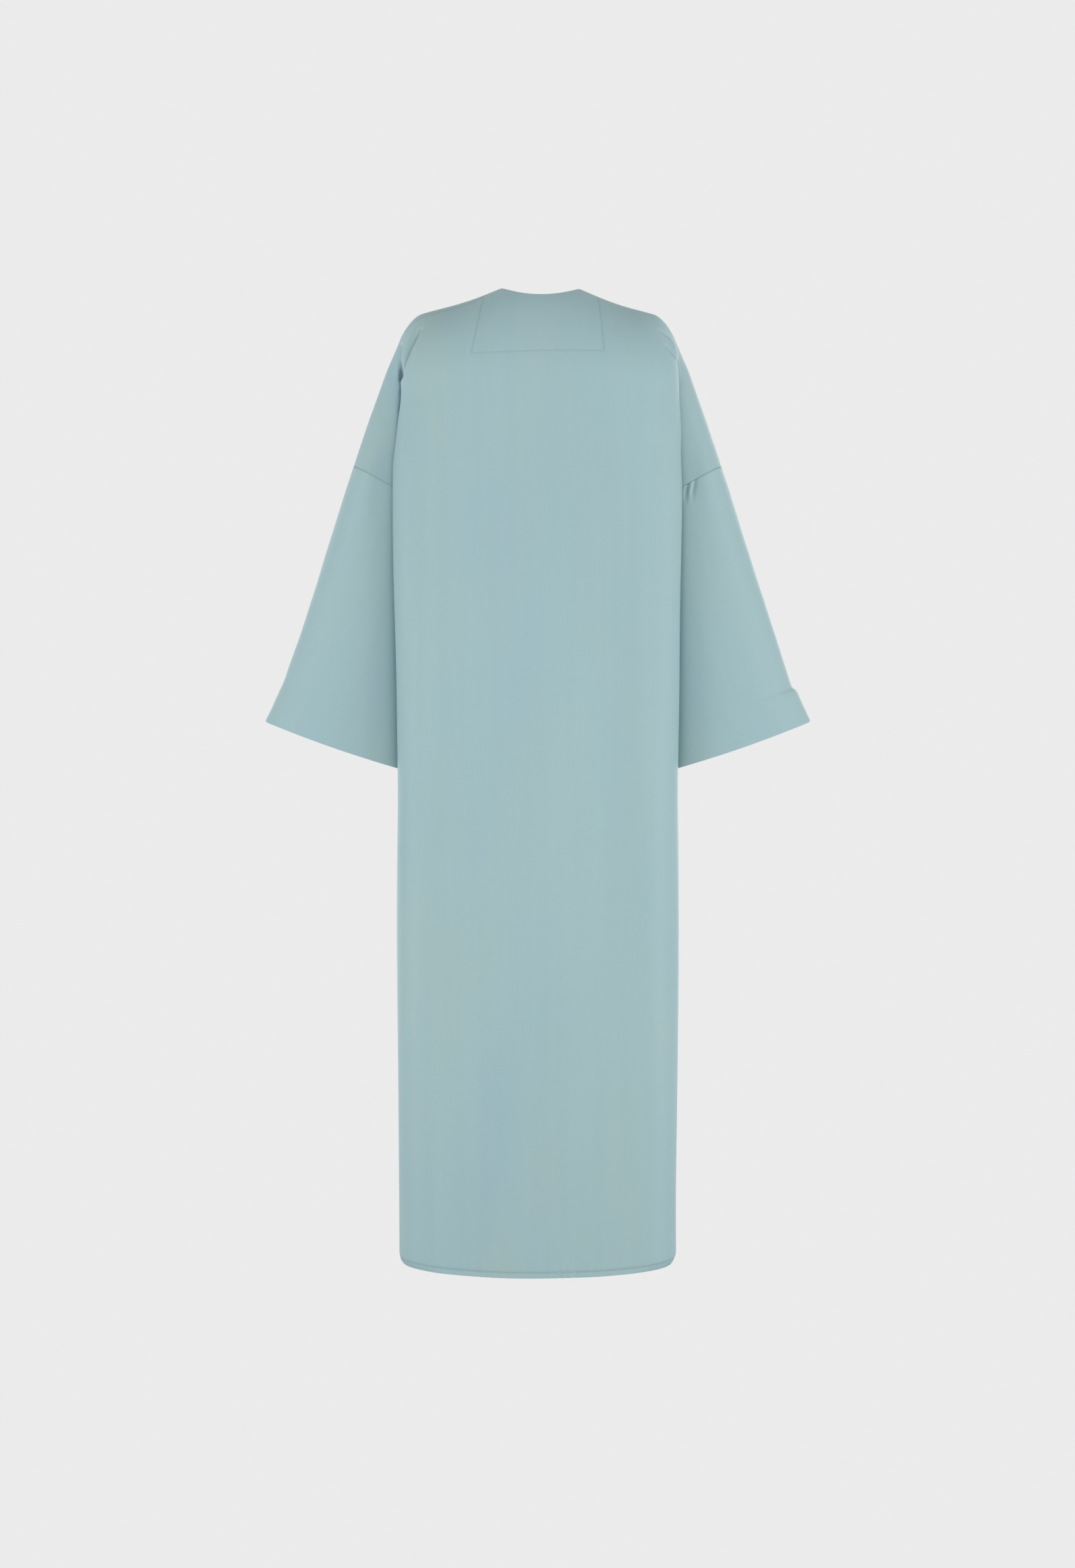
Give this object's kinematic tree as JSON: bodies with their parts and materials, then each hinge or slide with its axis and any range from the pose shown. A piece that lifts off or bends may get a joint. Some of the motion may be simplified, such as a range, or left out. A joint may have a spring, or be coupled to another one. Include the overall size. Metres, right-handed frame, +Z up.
{
  "type": "patient gown",
  "caption": "Long drop-shoulder patient gown with wide sleeves, a plain one-piece back and an overlapping front closed by press studs.",
  "frame": {"origin": "middle of the neck, level with the two neck points of the shoulder line", "axes": "+Z up towards the neck, +Y towards the gown's back, +X towards the wearer's left"},
  "size_m": [0.8034, 0.2321, 1.4446],
  "materials": {
    "gown_cloth": "matt satin polyester-viscose, fine plain weave",
    "facing_cloth": "the gown cloth's inner face",
    "hem_cloth": "turned and stitched edge of the gown cloth",
    "stay_tape": "narrow twill tape",
    "label_tape": "plain white satin tape, blank",
    "stud_resin": "smooth resin, dyed to match the cloth",
    "stud_metal": "plated brass, satin"
  },
  "bodies": {
    "gown": {"back_panel": "gown_cloth", "right_front_panel": "gown_cloth", "left_front_panel": "gown_cloth", "back_neck_facing": "facing_cloth", "right_front_facing": "facing_cloth", "left_front_facing": "facing_cloth", "care_label": "label_tape", "back_hem": "hem_cloth", "right_front_hem": "hem_cloth", "left_front_hem": "hem_cloth", "left_shoulder_tape": "stay_tape", "right_shoulder_tape": "stay_tape", "stud_1_cap": "stud_resin", "stud_1_socket": "stud_metal", "stud_1_stud": "stud_metal", "stud_1_post": "stud_metal", "stud_2_cap": "stud_resin", "stud_2_socket": "stud_metal", "stud_2_stud": "stud_metal", "stud_2_post": "stud_metal", "stud_3_stud": "stud_metal", "stud_3_post": "stud_metal", "stud_4_stud": "stud_metal", "stud_4_post": "stud_metal", "stud_5_stud": "stud_metal", "stud_5_post": "stud_metal", "stud_6_stud": "stud_metal", "stud_6_post": "stud_metal"},
    "left_sleeve": {"left_sleeve": "gown_cloth", "left_cuff_hem": "hem_cloth"},
    "right_sleeve": {"right_sleeve": "gown_cloth", "right_cuff_hem": "hem_cloth"},
    "left_front_flap": {"left_front_flap": "gown_cloth", "left_flap_facing": "facing_cloth", "left_flap_hem": "hem_cloth", "stud_3_cap": "stud_resin", "stud_3_socket": "stud_metal", "stud_4_cap": "stud_resin", "stud_4_socket": "stud_metal", "stud_5_cap": "stud_resin", "stud_5_socket": "stud_metal", "stud_6_cap": "stud_resin", "stud_6_socket": "stud_metal"}
  },
  "joints": [
    {"name": "left_sleeve_lift", "type": "hinge", "parent": "gown", "child": "left_sleeve", "pos_m": [0.27017, 0, -0.26596], "axis": [0, -1, 0], "range_deg": [0, 60]},
    {"name": "right_sleeve_lift", "type": "hinge", "parent": "gown", "child": "right_sleeve", "pos_m": [-0.27017, 0, -0.26596], "axis": [0, 1, 0], "range_deg": [0, 60]},
    {"name": "front_flap_open", "type": "hinge", "parent": "gown", "child": "left_front_flap", "pos_m": [-0.03, -0.1176, -0.15], "axis": [-0.128, 0, 0.9918], "range_deg": [0, 100]}
  ]
}
